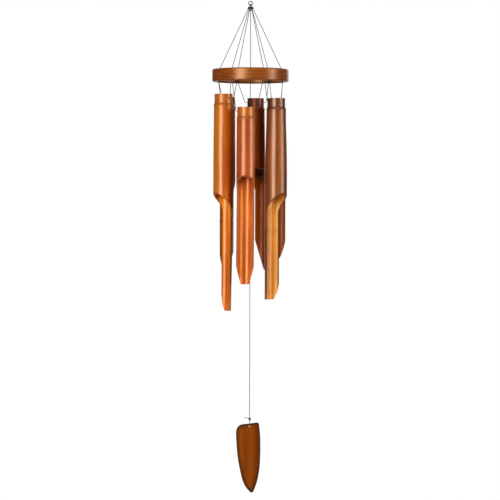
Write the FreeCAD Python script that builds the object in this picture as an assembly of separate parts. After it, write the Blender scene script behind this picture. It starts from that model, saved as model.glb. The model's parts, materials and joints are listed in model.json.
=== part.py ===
"""A six-tube bamboo wind chime, in millimetres.

The origin is the centre of the hanging ring, +Z is up and -Y is the front. Six cords fan out
from a knot under the ring to a wooden hoop. Each tube hangs on one cord that runs through the
tube's two side holes and is tied to the hoop on both sides. A centre line carries the striker
and, below the tubes, the wooden sail that catches the wind.
"""

import FreeCAD, Part
import collections
import math
import os

Vector = FreeCAD.Vector

# --- driving dimensions -------------------------------------------------------------------

CORD_D = 1.2
PIVOT_GAP = 0.4  # knots and cords of two moving bodies stop this far apart

RING_OUTER_D = 9.0
RING_WIRE_D = 1.5

CROWN_KNOT_R = 6.0
CROWN_KNOT_HEIGHT = 4.6
CORD_FAN_R = 5.2  # where the suspension cords leave the crown knot

HOOP_CENTRE = Vector(-0.1, 4.6, 0)  # off the ring's axis, so that the whole hangs level
HOOP_OUTER_R = 71.3
HOOP_INNER_R = 62.5
HOOP_TOP_Z = -122.5
HOOP_HEIGHT = 23.4
HOOP_EDGE_R = 2.5

STATION_AZIMUTHS = (-125.7, -65.7, -5.7, 54.3, 114.3, 174.3)
HALF_STEP = 30.0  # degrees from a tube to the knots on either side of it
STATION_R = 60.0  # from the hoop's centre to the tied knots
UPPER_KNOT_Z = -127.0
UPPER_KNOT_D = 3.8
LOWER_KNOT_Z = -142.0
LOWER_KNOT_D = 4.8
STAPLE_WIRE_D = 1.4
STAPLE_LEG_DEPTH = 5.5  # driven into the hoop's wall

CORD_SPREAD = 1.1  # the two cords of a knot leave it this far to either side of its middle
CORD_TURN_R = 1.6  # where a hung cord turns over the edge of its tube's hole
TUBE_HOLE_D = 2.6
TUBE_HOLE_DROP = 8.0
CORD_STANDOFF = 1.5  # outside the tube's wall

BAMBOO_NODE_DROP = 20.0
BAMBOO_NODE_HEIGHT = 3.4
BAMBOO_NODE_RISE = 0.5
FLARE_LENGTH = 130.0  # below the node, over which a tube widens to its full diameter
DIAPHRAGM = 3.0
NOTCH_BLEND_R = 26.0
SLANT_TIP = 2.0  # thickness that a slanted tail keeps at its tip

# A tube's neck is how much slimmer in radius it is above its node, and its flare how much
# slimmer just below it. The notch's depth is in outer radii, so more than 1 goes past the axis.
# A slanted tail ends in one sloping cut, and the others taper to a blunt tip.
Tube = collections.namedtuple(
    "Tube",
    "azimuth side_shift diameter wall top length neck flare "
    "notch_drop notch_height notch_depth notch_azimuth taper tip_width slant",
)
TUBES = {
    "front_left": Tube(-155.7, 3.0, 37.4, 4.0, -169.9, 402.0, 1.2, 0.7,
                       182.5, 24.0, 1.42, -148.0, 40.0, 18.0, 0.0),
    "front": Tube(-95.7, -2.7, 34.0, 3.6, -195.4, 327.0, 0.8, 0.3,
                  126.0, 18.0, 1.28, -92.0, 37.0, 15.0, 0.0),
    "front_right": Tube(-35.7, 4.2, 40.8, 3.8, -177.7, 373.0, 1.6, 2.2,
                        175.0, 25.6, 1.38, -40.0, 36.0, 20.0, 0.0),
    "back_right": Tube(24.3, -3.8, 32.8, 3.4, -186.3, 288.0, 1.2, 0.7,
                       128.0, 32.0, 1.28, 100.0, 35.0, 5.0, 0.0),
    "back": Tube(84.3, -4.8, 37.0, 3.0, -174.2, 322.0, 1.7, 1.2,
                 141.0, 26.0, 1.0, 178.0, 0.0, 10.0, 56.0),
    "back_left": Tube(144.3, -1.0, 29.2, 3.9, -172.8, 318.0, 1.0, 0.6,
                      141.0, 32.0, 1.28, 68.0, 30.0, 8.0, 0.0),
}

CENTRE_KNOT_D = 3.0
CENTRE_KNOT_Z = -13.0
STRIKER_R = 24.0
STRIKER_HEIGHT = 17.0
STRIKER_Z = -315.0
STRIKER_EDGE_R = 5.0
STRIKER_HOLE_D = 3.0
STOP_KNOT_D = 5.0

SAIL_THICK = 6.0
SAIL_TOP_Z = -779.5
SAIL_HOLE_D = 3.0
SAIL_HOLE_DROP = 7.0
SAIL_EDGE_R = 1.4
SAIL_OFFSET = 0.7  # the sail's centre of mass hangs this far left of its hole
SAIL_LOOP_GAP = 0.6
SAIL_LOOP_TIGHT_R = 1.2  # where the loop turns through the sail's hole
SAIL_KNOT_D = 4.6

# --- derived places -----------------------------------------------------------------------

CORD_R = CORD_D / 2
RING_WIRE_R = RING_WIRE_D / 2
RING_MID_R = RING_OUTER_D / 2 - RING_WIRE_R
SWING_POINT = Vector(0, 0, -RING_MID_R)
LOOP_MID_R = RING_WIRE_R + CORD_R + PIVOT_GAP
CROWN_KNOT_TOP = -RING_MID_R - LOOP_MID_R - CORD_R - PIVOT_GAP
CROWN_KNOT_Z = CROWN_KNOT_TOP - CROWN_KNOT_HEIGHT / 2
HOOP_BOTTOM_Z = HOOP_TOP_Z - HOOP_HEIGHT
STRIKER_BOTTOM_Z = STRIKER_Z - STRIKER_HEIGHT / 2
STOP_KNOT_Z = STRIKER_BOTTOM_Z - PIVOT_GAP - STOP_KNOT_D / 2
SAIL_HOLE_Z = SAIL_TOP_Z - SAIL_HOLE_DROP
UP = Vector(0, 0, 1)


def save(name, shape):
    shape.exportStep(f"parts/{name}.step")


def around(azimuth, radius, z=0.0):
    """A point at an azimuth and radius from the hoop's axis."""
    turn = math.radians(azimuth)
    return HOOP_CENTRE + Vector(radius * math.cos(turn), radius * math.sin(turn), z)


def rod(start, end, diameter):
    return Part.makeCylinder(diameter / 2, (end - start).Length, start, end - start)


def ball(centre, diameter):
    return Part.makeSphere(diameter / 2, centre)


def squashed_ball(centre, radius, height):
    """A tied knot's plain form: a ball flattened along Z."""
    form = Part.makeSphere(radius)
    flatten = FreeCAD.Matrix()
    flatten.scale(1, 1, height / (2 * radius))
    form = form.transformGeometry(flatten)
    form.translate(centre)
    return form


def rounded_path(points, radii):
    """A wire of straight runs joined by tangent arcs, with one radius for each inner point."""
    edges = []
    start = points[0]
    for before, corner, after, radius in zip(points, points[1:], points[2:], radii):
        back = (before - corner).normalize()
        onward = (after - corner).normalize()
        half = back.getAngle(onward) / 2
        reach = radius / math.tan(half)
        middle = (back + onward).normalize()
        arc_start = corner + back * reach
        arc_end = corner + onward * reach
        arc_middle = corner + middle * (radius / math.sin(half) - radius)
        edges.append(Part.LineSegment(start, arc_start).toShape())
        edges.append(Part.Arc(arc_start, arc_middle, arc_end).toShape())
        start = arc_end
    edges.append(Part.LineSegment(start, points[-1]).toShape())
    return Part.Wire(edges)


def tube_along(wire, diameter):
    """A round solid swept along a wire."""
    first = wire.Edges[0]
    start = first.valueAt(first.FirstParameter)
    section = Part.Wire(Part.makeCircle(diameter / 2, start, first.tangentAt(first.FirstParameter)))
    return wire.makePipeShell([section], True, False, 2)


# --- ring, crown and hoop -----------------------------------------------------------------


def hanging_ring():
    return Part.makeTorus(RING_MID_R, RING_WIRE_R, Vector(0, 0, 0), Vector(0, 1, 0))


def crown_loop():
    """The cord's loop round the ring's lowest stretch of wire."""
    return Part.makeTorus(LOOP_MID_R, CORD_R, SWING_POINT, Vector(1, 0, 0))


def crown_knot():
    return squashed_ball(Vector(0, 0, CROWN_KNOT_Z), CROWN_KNOT_R, CROWN_KNOT_HEIGHT)


def suspension_cord(azimuth):
    """From inside the crown knot to the middle of its upper knot."""
    end = around(azimuth, STATION_R, UPPER_KNOT_Z)
    flat = Vector(end.x, end.y, 0).normalize()
    start = flat * CORD_FAN_R + Vector(0, 0, CROWN_KNOT_Z)
    trim = (end - start).normalize() * (UPPER_KNOT_D / 2 - CORD_R)
    cord = rod(start, end - trim, CORD_D)
    return cord.cut([crown_knot(), ball(end, UPPER_KNOT_D)])


def plain_hoop():
    base = HOOP_CENTRE + Vector(0, 0, HOOP_BOTTOM_Z)
    outer = Part.makeCylinder(HOOP_OUTER_R, HOOP_HEIGHT, base, UP)
    return outer.cut(Part.makeCylinder(HOOP_INNER_R, HOOP_HEIGHT, base, UP))


def hoop():
    """The wooden ring, its four rims rounded, with holes for the staples' legs."""
    ring = plain_hoop()
    rims = [e for e in ring.Edges if isinstance(e.Curve, Part.Circle)]
    ring = ring.makeFillet(HOOP_EDGE_R, rims)
    return ring.cut([staple(azimuth) for azimuth in STATION_AZIMUTHS])


def staple(azimuth):
    """A wire staple whose two legs are driven into the hoop's inner wall."""
    leg_r = HOOP_INNER_R + STAPLE_LEG_DEPTH
    points = [
        around(azimuth, leg_r, UPPER_KNOT_Z),
        around(azimuth, STATION_R, UPPER_KNOT_Z),
        around(azimuth, STATION_R, LOWER_KNOT_Z),
        around(azimuth, leg_r, LOWER_KNOT_Z),
    ]
    return tube_along(rounded_path(points, [STAPLE_WIRE_D] * 2), STAPLE_WIRE_D)


def knot_on_staple(azimuth, z, diameter):
    """A knot round the staple's bridge, flattened where it touches the hoop's wall."""
    return ball(around(azimuth, STATION_R, z), diameter).cut([staple(azimuth), plain_hoop()])


# --- tubes --------------------------------------------------------------------------------


def bamboo_blank(spec):
    """A length of bamboo standing on its axis, its top at z = 0, closed by one diaphragm."""
    radius = spec.diameter / 2
    slim = radius - spec.flare
    neck = slim - spec.neck
    bore = radius - spec.wall
    cup = neck - spec.wall
    node = -BAMBOO_NODE_DROP
    half = BAMBOO_NODE_HEIGHT / 2
    outline = [
        Vector(cup, 0, 0),
        Vector(neck, 0, 0),
        Vector(neck, 0, node + half),
        Vector(slim + BAMBOO_NODE_RISE, 0, node),
        Vector(slim, 0, node - half),
        Vector(radius, 0, node - FLARE_LENGTH),
        Vector(radius, 0, -spec.length),
        Vector(bore, 0, -spec.length),
        Vector(bore, 0, node - FLARE_LENGTH),
        Vector(slim - spec.wall, 0, node - DIAPHRAGM / 2),
        Vector(0, 0, node - DIAPHRAGM / 2),
        Vector(0, 0, node + DIAPHRAGM / 2),
        Vector(cup, 0, node + DIAPHRAGM / 2),
    ]
    face = Part.Face(Part.makePolygon(outline + outline[:1]))
    return face.revolve(Vector(0, 0, 0), UP, 360)


def notch_cutter(spec):
    """Removes the front (+X) wall: a slanted cut that blends into the tail's straight sides."""
    radius = spec.diameter / 2
    out = radius + 2
    cut = radius * (1 - spec.notch_depth)
    slope = spec.notch_height / (radius - cut)
    corners = [
        Vector(out, 0, -spec.notch_drop + 2 * slope),
        Vector(cut, 0, -spec.notch_drop - spec.notch_height),
        Vector(cut, 0, -spec.length - 1),
    ]
    slant = rounded_path(corners, [NOTCH_BLEND_R])
    foot = Vector(out, 0, -spec.length - 1)
    closing = Part.makePolygon([corners[-1], foot, corners[0]])
    face = Part.Face(Part.Wire(slant.Edges + closing.Edges))
    face.translate(Vector(0, -out, 0))
    return face.extrude(Vector(0, 2 * out, 0))


def tail_cutters(spec):
    """Removes both lower corners of the tail, which leaves its blunt point."""
    radius = spec.diameter / 2
    half_tip = spec.tip_width / 2
    wide = radius + 2
    start = spec.taper - spec.length
    cutters = []
    for side in (1, -1):
        corner = [
            Vector(-wide, side * half_tip, -spec.length),
            Vector(-wide, side * radius, start),
            Vector(-wide, side * wide, start),
            Vector(-wide, side * wide, -spec.length - 1),
            Vector(-wide, side * half_tip, -spec.length - 1),
        ]
        face = Part.Face(Part.makePolygon(corner + corner[:1]))
        cutters.append(face.extrude(Vector(2 * wide, 0, 0)))
    return cutters


def slant_cutter(spec):
    """Removes the tail below a plane that slopes from its cut sides to its outer wall."""
    radius = spec.diameter / 2
    wide = radius + 2
    cut = radius * (1 - spec.notch_depth)
    corner = [
        Vector(cut + 1, -wide, spec.slant - spec.length),
        Vector(cut, -wide, spec.slant - spec.length),
        Vector(SLANT_TIP - radius, -wide, -spec.length),
        Vector(SLANT_TIP - radius, -wide, -spec.length - 1),
        Vector(cut + 1, -wide, -spec.length - 1),
    ]
    face = Part.Face(Part.makePolygon(corner + corner[:1]))
    return face.extrude(Vector(0, 2 * wide, 0))


def hung_tube(spec):
    """The tube in place: its centre of mass is plumb below the line between its two knots."""
    tail = tail_cutters(spec) if spec.taper else [slant_cutter(spec)]
    shape = bamboo_blank(spec).cut([notch_cutter(spec)] + tail).Solids[0]
    shape.rotate(Vector(0, 0, 0), UP, spec.notch_azimuth)
    outward = around(spec.azimuth, 1) - HOOP_CENTRE
    lean = shape.CenterOfMass.dot(outward)
    axis_r = plumb_radius() - lean
    aside = sideways(spec.azimuth) * spec.side_shift
    shape.translate(around(spec.azimuth, axis_r, spec.top) + aside)
    left, right = hole_ends(spec)
    return shape.cut(rod(left, right, TUBE_HOLE_D)), axis_r


def plumb_radius():
    """From the hoop's axis to the line between two neighbouring knots."""
    return STATION_R * math.cos(math.radians(HALF_STEP))


def sideways(azimuth):
    turn = math.radians(azimuth)
    return Vector(-math.sin(turn), math.cos(turn), 0)


def hole_ends(spec):
    """The two points where a hung cord turns up, outside the tube's side holes."""
    reach = spec.diameter / 2 + CORD_STANDOFF
    middle = around(spec.azimuth, plumb_radius(), spec.top - TUBE_HOLE_DROP)
    across = sideways(spec.azimuth)
    shift = spec.side_shift
    return middle + across * (shift - reach), middle + across * (shift + reach)


def hung_cord_path(spec):
    """Knot to hole, through the tube, and up to the next knot."""
    before = spec.azimuth - HALF_STEP
    after = spec.azimuth + HALF_STEP
    first = around(before, STATION_R, LOWER_KNOT_Z) + sideways(before) * CORD_SPREAD
    last = around(after, STATION_R, LOWER_KNOT_Z) - sideways(after) * CORD_SPREAD
    left, right = hole_ends(spec)
    reach = LOWER_KNOT_D / 2 + PIVOT_GAP
    start = first + (left - first).normalize() * reach
    end = last + (right - last).normalize() * reach
    return [start, left, right, end]


# --- centre line --------------------------------------------------------------------------


def centre_cord():
    """From under the centre knot, through the striker, into the stop knot's top."""
    top = Vector(0, 0, CENTRE_KNOT_Z - CENTRE_KNOT_D / 2 - PIVOT_GAP)
    return rod(top, Vector(0, 0, STRIKER_BOTTOM_Z), CORD_D)


def striker():
    """A turned wooden disc with rounded rims and a hole for the cord."""
    base = Vector(0, 0, STRIKER_BOTTOM_Z)
    disc = Part.makeCylinder(STRIKER_R, STRIKER_HEIGHT, base, UP)
    rims = [e for e in disc.Edges if isinstance(e.Curve, Part.Circle)]
    disc = disc.makeFillet(STRIKER_EDGE_R, rims)
    return disc.cut(Part.makeCylinder(STRIKER_HOLE_D / 2, STRIKER_HEIGHT, base, UP))


def striker_top_knot():
    """Tied on the cord just above the disc, so it cannot ride up."""
    centre = Vector(0, 0, STRIKER_Z + STRIKER_HEIGHT / 2 + PIVOT_GAP + STOP_KNOT_D / 2)
    return ball(centre, STOP_KNOT_D).cut(centre_cord())


def sail_cord():
    top = Vector(0, 0, STOP_KNOT_Z - STOP_KNOT_D / 2 - PIVOT_GAP)
    return rod(top, Vector(0, 0, sail_knot_z() + SAIL_KNOT_D / 2 + PIVOT_GAP), CORD_D)


def loop_half_width():
    return SAIL_THICK / 2 + SAIL_LOOP_GAP + CORD_R


def sail_knot_z():
    """The knot sits on top of the loop that threads the sail."""
    return SAIL_TOP_Z + loop_half_width() + SAIL_KNOT_D / 2


def sail_loop():
    """A loop of cord from the knot, down both faces and through the sail's hole."""
    half = loop_half_width()
    high = SAIL_TOP_Z + half
    low = SAIL_HOLE_Z
    shoulder = half * 0.96  # just under the half width, so that a short straight joins the turns
    corners = [
        Vector(0, 0, high),
        Vector(0, half, high),
        Vector(0, half, low),
        Vector(0, -half, low),
        Vector(0, -half, high),
        Vector(0, 0, high),
    ]
    turns = [shoulder, SAIL_LOOP_TIGHT_R, SAIL_LOOP_TIGHT_R, shoulder]
    return tube_along(rounded_path(corners, turns), CORD_D).cut(sail_knot())


def sail_knot():
    return ball(Vector(0, 0, sail_knot_z()), SAIL_KNOT_D)


def sail_outline():
    """The leaf shape in the XZ plane, from its highest corner: shoulders, full sides, a point."""
    shoulder = Part.Arc(Vector(-25.9, 0, -16), Vector(-21.9, 0, -7), Vector(-12, 0, -3))
    top = Part.LineSegment(Vector(-12, 0, -3), Vector(13.2, 0, 0))
    corner = Part.Arc(Vector(13.2, 0, 0), Vector(15.8, 0, -1.6), Vector(16.6, 0, -5))
    right = Part.BSplineCurve()
    right.interpolate([Vector(16.6, 0, -5), Vector(19.1, 0, -42), Vector(17.8, 0, -83),
                       Vector(6.6, 0, -128)])
    tip = Part.Arc(Vector(6.6, 0, -128), Vector(3.6, 0, -130.8), Vector(0.4, 0, -129.6))
    left = Part.BSplineCurve()
    left.interpolate([Vector(0.4, 0, -129.6), Vector(-12.7, 0, -111), Vector(-22.5, 0, -68),
                      Vector(-25.9, 0, -16)])
    return Part.Wire([curve.toShape() for curve in (shoulder, top, corner, right, tip, left)])


def sail():
    """A flat board hung by a hole near its top edge, its centre of mass nearly below the hole."""
    board = Part.Face(sail_outline()).extrude(Vector(0, SAIL_THICK, 0))
    aside = -board.CenterOfMass.x - SAIL_OFFSET
    board.translate(Vector(aside, -SAIL_THICK / 2, SAIL_TOP_Z))
    long_edges = [e for e in board.Edges if abs(e.tangentAt(e.FirstParameter).y) < 0.5]
    board = board.makeFillet(SAIL_EDGE_R, long_edges)
    hole = Vector(0, SAIL_THICK, SAIL_HOLE_Z)
    return board.cut(rod(hole, hole - Vector(0, 2 * SAIL_THICK, 0), SAIL_HOLE_D))


# --- build --------------------------------------------------------------------------------

os.makedirs("parts", exist_ok=True)
shapes = {
    "hanging_ring": hanging_ring(),
    "crown_loop": crown_loop(),
    "crown_knot": crown_knot(),
    "hoop": hoop(),
    "centre_knot": ball(Vector(0, 0, CENTRE_KNOT_Z), CENTRE_KNOT_D),
    "centre_cord": centre_cord(),
    "striker_top_knot": striker_top_knot(),
    "striker": striker(),
    "striker_stop_knot": ball(Vector(0, 0, STOP_KNOT_Z), STOP_KNOT_D),
    "sail_cord": sail_cord(),
    "sail_knot": sail_knot(),
    "sail_loop": sail_loop(),
    "sail": sail(),
}
for number, azimuth in enumerate(STATION_AZIMUTHS, 1):
    shapes[f"suspension_cord_{number}"] = suspension_cord(azimuth)
    shapes[f"hoop_staple_{number}"] = staple(azimuth)
    shapes[f"upper_knot_{number}"] = knot_on_staple(azimuth, UPPER_KNOT_Z, UPPER_KNOT_D)
    shapes[f"lower_knot_{number}"] = knot_on_staple(azimuth, LOWER_KNOT_Z, LOWER_KNOT_D)

for name, spec in TUBES.items():
    tube, axis_r = hung_tube(spec)
    shapes[f"tube_{name}"] = tube
    path = hung_cord_path(spec)
    wire = rounded_path(path, [CORD_TURN_R] * 2)
    shapes[f"tube_cord_{name}"] = tube_along(wire, CORD_D)
    centre = tube.Solids[0].CenterOfMass
    places = " ".join(f"({p.x:.2f} {p.y:.2f} {p.z:.2f})" for p in path)
    print(f"tube_{name}: axis {axis_r:.1f} from the hoop's axis, centre of mass "
          f"({centre.x:.1f} {centre.y:.1f} {centre.z:.1f}), cord {wire.Length:.1f} long, "
          f"turns on radius {CORD_TURN_R}, points {places}")

for name, shape in shapes.items():
    if len(shape.Solids) != 1 or not shape.isValid():
        raise ValueError(f"{name} is not one sound solid: {len(shape.Solids)}, {shape.isValid()}")
    save(name, shape.Solids[0])
print(len(shapes), "nodes")
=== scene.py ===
"""The looks of a six-tube bamboo wind chime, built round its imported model.

Metres, +Z up, -Y the front, the origin at the hanging ring's centre. Sizes that read better in
millimetres are written as such and multiplied by MM.
"""

import collections
import json
import math

import bmesh
import bpy
import numpy as np
from mathutils import Matrix, Vector, kdtree, noise


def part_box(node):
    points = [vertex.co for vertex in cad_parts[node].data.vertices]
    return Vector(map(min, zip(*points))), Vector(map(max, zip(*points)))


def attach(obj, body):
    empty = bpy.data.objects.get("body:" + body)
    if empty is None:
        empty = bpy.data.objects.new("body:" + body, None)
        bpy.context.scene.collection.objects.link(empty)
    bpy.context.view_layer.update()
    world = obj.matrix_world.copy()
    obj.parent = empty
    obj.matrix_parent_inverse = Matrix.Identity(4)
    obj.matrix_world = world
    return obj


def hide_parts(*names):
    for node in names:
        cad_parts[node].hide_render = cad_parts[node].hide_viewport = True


MM = 0.001
TURN = 2 * math.pi
UP = Vector((0, 0, 1))

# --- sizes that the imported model's boxes do not give --------------------------------------

CAMERA_PLACE = Vector((0, -5.95, -0.4589))
CAMERA_LENS = 230.3
CAMERA_SENSOR = 36.0
CAMERA_ROLL = math.radians(-0.16)

CORD_R = 0.6 * MM
CORD_PITCH = 4.2 * MM  # one turn of its three plies
CORD_SIDES = 12

STATION_AZIMUTHS = (-125.7, -65.7, -5.7, 54.3, 114.3, 174.3)
STATION_R = 60.0 * MM
UPPER_KNOT_Z = -127.0 * MM
LOWER_KNOT_Z = -142.0 * MM
KNOT_HALF_SPAN = 30.0 * MM  # from the middle of a tube's two knots to either knot
CORD_SPREAD = 1.1 * MM
CORD_FAN_R = 5.2 * MM
CORD_STANDOFF = 1.5 * MM
CORD_START_DROP = 1.2  # in millimetres, from a lower knot's middle
HOLE_LEAD = 6.0 * MM  # the last stretch of cord before it turns over the hole's edge
TUBE_HOLE_D = 2.6 * MM

# In millimetres. A knot's cord winds round a ring of radius wide, up to thick out from the ring's
# line and up to high above it, as it goes round the knot and crosses over.
Knot = collections.namedtuple("Knot", "wide thick high rounds crossings")
KNOTS = {
    "crown": Knot(3.6, 1.5, 1.8, 3, 7),
    "upper": Knot(1.45, 0.6, 1.0, 2, 3),
    "lower": Knot(1.7, 0.75, 1.5, 3, 4),
    "centre": Knot(1.0, 0.5, 0.8, 2, 3),
    "striker_top": Knot(1.3, 0.7, 1.4, 2, 3),
    "striker_stop": Knot(1.3, 0.7, 1.5, 2, 3),
    "sail": Knot(1.3, 0.65, 1.4, 2, 3),
}

LACQUER_TINT = (1.0, 0.56, 0.3, 1)  # of its shine
BAMBOO_NODE_DROP = 20.0
BAMBOO_NODE_RISE = 0.5
FLARE_LENGTH = 130.0
DIAPHRAGM = 3.0
NOTCH_BLEND_R = 26.0
SLANT_TIP = 2.0

# In millimetres and degrees. nodes are the drops of the ridges below the first one. By its tip a
# tail has bent that far to the left and its radius has shrunk by thin, as the culm grew.
Bamboo = collections.namedtuple(
    "Bamboo",
    "diameter wall length neck flare notch_drop notch_height notch_depth notch_azimuth taper "
    "tip_width slant bend thin nodes",
)
TUBES = {
    "front_left": Bamboo(37.4, 4.0, 402.0, 1.2, 0.7, 182.5, 24.0, 1.42, -148.0, 40.0, 18.0, 0.0,
                         1.6, 2.4, ()),
    "front": Bamboo(34.0, 3.6, 327.0, 0.8, 0.3, 126.0, 18.0, 1.28, -92.0, 37.0, 15.0, 0.0,
                    1.4, 0.0, ()),
    "front_right": Bamboo(40.8, 3.8, 373.0, 1.6, 2.2, 175.0, 25.6, 1.38, -40.0, 36.0, 20.0, 0.0,
                          0.3, 0.0, (246.0,)),
    "back_right": Bamboo(32.8, 3.4, 288.0, 1.2, 0.7, 128.0, 32.0, 1.28, 100.0, 35.0, 5.0, 0.0,
                         0.0, 0.0, ()),
    "back": Bamboo(37.0, 3.0, 322.0, 1.7, 1.2, 141.0, 26.0, 1.0, 178.0, 0.0, 10.0, 56.0,
                   0.0, 0.0, ()),
    "back_left": Bamboo(29.2, 3.9, 318.0, 1.0, 0.6, 141.0, 32.0, 1.28, 68.0, 30.0, 8.0, 0.0,
                        0.0, 0.0, (232.0,)),
}

# A culm's colours, and its paler streak, the culm's own paler side on most tubes and a painted highlight
# on the front one: where it runs, from -1 at the left edge to 1, and how wide.
Look = collections.namedtuple(
    "Look",
    "slot dark middle light stain neck cut streak streak_at streak_half streak_share",
)
# stain is the colour of stain at the nodes and rim, and of the painted shade in the groove above each
# node.
LOOKS = {
    "front_left": Look("bamboo_light", "943400", "B04600", "C66008", "5C280A", "AA5810", "AA621E",
                       "B66A0E", -0.85, 0.5, 0.9),
    # Its streak is a painted highlight down its right side.
    "front": Look("bamboo_light", "7A2408", "943610", "A8481A", "5C260C", "AA5C12", "A4541C",
                  "C4704A", 0.74, 0.2, 0.8),
    "front_right": Look("bamboo_brown", "421402", "582006", "6C300C", "301208", "3E1C16", "84481A",
                        "904C04", 0.22, 0.15, 0.9),
    "back_right": Look("bamboo_dark", "561800", "722400", "863604", "280C04", "562A20", "4A220E",
                       "8A4408", 0.5, 0.3, 0.6),
    "back": Look("bamboo_dark", "601C02", "7E2E06", "924408", "2A0E04", "543028", "5A2A10",
                 "864C06", -0.1, 0.22, 0.8),
    "back_left": Look("bamboo_dark", "5A2006", "74300A", "8C4414", "2C0E06", "5A3220", "5A2A10",
                      "7A3C10", 0.0, 0.3, 0.5),
}

STRIKER_HOLE_R = 1.5
STRIKER_EDGE_R = 5.0
STRIKER_HOLE_RIM = 4.9  # from the hole's edge outwards
HOOP_WALL = 8.5
HOOP_EDGE_R = 2.5
SAIL_HOLE_D = 2.6 * MM
SAIL_HOLE_DROP = 7.0 * MM
SAIL_LEFT = -25.9
SAIL_EDGE_R = 2.2
FLOOR_R = 18.0
FLOOR_Z = -2.5

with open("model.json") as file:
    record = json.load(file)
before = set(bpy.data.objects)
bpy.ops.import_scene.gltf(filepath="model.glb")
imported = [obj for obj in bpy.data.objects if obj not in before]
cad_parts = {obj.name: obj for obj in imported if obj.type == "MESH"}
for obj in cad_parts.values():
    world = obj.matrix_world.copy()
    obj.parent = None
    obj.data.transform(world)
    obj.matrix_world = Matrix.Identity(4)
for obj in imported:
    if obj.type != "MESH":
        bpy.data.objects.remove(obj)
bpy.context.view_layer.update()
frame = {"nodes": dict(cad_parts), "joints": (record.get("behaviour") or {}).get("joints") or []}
joints = {joint["name"]: joint for joint in frame["joints"]}
scene = bpy.context.scene
scene.view_settings.view_transform = "Standard"


# --- mesh tools ---------------------------------------------------------------------------


class Skin:
    """Rows of points joined face by face into one mesh, each face in one material."""

    def __init__(self):
        self.points = []
        self.faces = []
        self.slots = []

    def row(self, points):
        start = len(self.points)
        self.points += [tuple(p) for p in points]
        return list(range(start, len(self.points)))

    def join(self, first, second, slot=0, closed=True):
        for i in range(len(first) if closed else len(first) - 1):
            j = (i + 1) % len(first)
            self.faces.append((first[i], first[j], second[j], second[i]))
            self.slots.append(slot)

    def sheet(self, rows, slot=0, closed=True):
        """Joins each row to the next."""
        for first, second in zip(rows, rows[1:]):
            self.join(first, second, slot, closed)

    def fan(self, loop, middle, slot=0):
        """Closes a loop with triangles to its middle."""
        hub = self.row([middle])[0]
        for i, corner in enumerate(loop):
            self.faces.append((corner, loop[(i + 1) % len(loop)], hub))
            self.slots.append(slot)

    def piece(self, name, materials, body, slot, *nodes):
        """The object: it rides on a body, takes its materials and stands for nodes. The slot argument is
        not used.
        """
        mesh = bpy.data.meshes.new(name)
        mesh.from_pydata(self.points, [], self.faces)
        mesh.polygons.foreach_set("material_index", self.slots)
        mesh.polygons.foreach_set("use_smooth", [True] * len(self.faces))
        for material in materials:
            mesh.materials.append(material)
        mesh.update()
        obj = bpy.data.objects.new(name, mesh)
        scene.collection.objects.link(obj)
        outward(obj)
        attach(obj, body)
        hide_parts(*nodes)
        return obj


def outward(obj, drop_loose=False):
    """Turns every face of a closed mesh outwards, and may drop the points that no face uses."""
    work = bmesh.new()
    work.from_mesh(obj.data)
    if drop_loose:
        bmesh.ops.delete(work, geom=[v for v in work.verts if not v.link_faces], context="VERTS")
    bmesh.ops.recalc_face_normals(work, faces=work.faces)
    work.to_mesh(obj.data)
    work.free()


def applied(obj):
    """Replaces a piece's mesh by what its modifiers make of it."""
    graph = bpy.context.evaluated_depsgraph_get()
    mesh = bpy.data.meshes.new_from_object(obj.evaluated_get(graph), preserve_all_data_layers=True,
                                           depsgraph=graph)
    obj.modifiers.clear()
    obj.data = mesh


def drill(obj, centre, direction, diameter, length, sides=32):
    """A round hole through a piece."""
    skin = Skin()
    direction = Vector(direction).normalized()
    one = direction.orthogonal().normalized()
    two = direction.cross(one)
    rings = []
    for end in (-0.5, 0.5):
        ring = []
        for k in range(sides):
            a = TURN * k / sides
            ring.append(centre + direction * end * length
                        + (one * math.cos(a) + two * math.sin(a)) * diameter / 2)
        rings.append(skin.row(ring))
    skin.join(rings[0], rings[1])
    skin.faces += [tuple(reversed(rings[0])), tuple(rings[1])]
    mesh = bpy.data.meshes.new("drill")
    mesh.from_pydata(skin.points, [], skin.faces)
    cutter = bpy.data.objects.new("drill", mesh)
    scene.collection.objects.link(cutter)
    outward(cutter)
    cut = obj.modifiers.new("hole", "BOOLEAN")
    cut.object = cutter
    cut.operation = "DIFFERENCE"
    cut.solver = "EXACT"
    cut.material_mode = "INDEX"
    applied(obj)
    bpy.data.objects.remove(cutter)


def soften(obj, width, angle=40):
    """Rounds every edge sharper than the angle, with a width in metres."""
    bevel = obj.modifiers.new("worn edges", "BEVEL")
    bevel.width = width
    bevel.segments = 2
    bevel.limit_method = "ANGLE"
    bevel.angle_limit = math.radians(angle)
    applied(obj)
    obj.data.polygons.foreach_set("use_smooth", [True] * len(obj.data.polygons))
    obj.data.set_sharp_from_angle(angle=math.radians(50))


def measure(obj, name, value):
    """Stores value(point) on every point of a mesh, for its material to read."""
    layer = obj.data.attributes.new(name, "FLOAT", "POINT")
    layer.data.foreach_set("value", [value(v.co) for v in obj.data.vertices])


def smooth_step(low, high, value):
    t = min(1.0, max(0.0, (value - low) / (high - low)))
    return t * t * (3 - 2 * t)


# --- materials ----------------------------------------------------------------------------


def colour(code):
    """A linear RGBA colour from a hexadecimal sRGB one."""
    parts = [int(code[i:i + 2], 16) / 255 for i in (0, 2, 4)]
    return tuple(c / 12.92 if c <= 0.04045 else ((c + 0.055) / 1.055) ** 2.4 for c in parts) + (1,)


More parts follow.
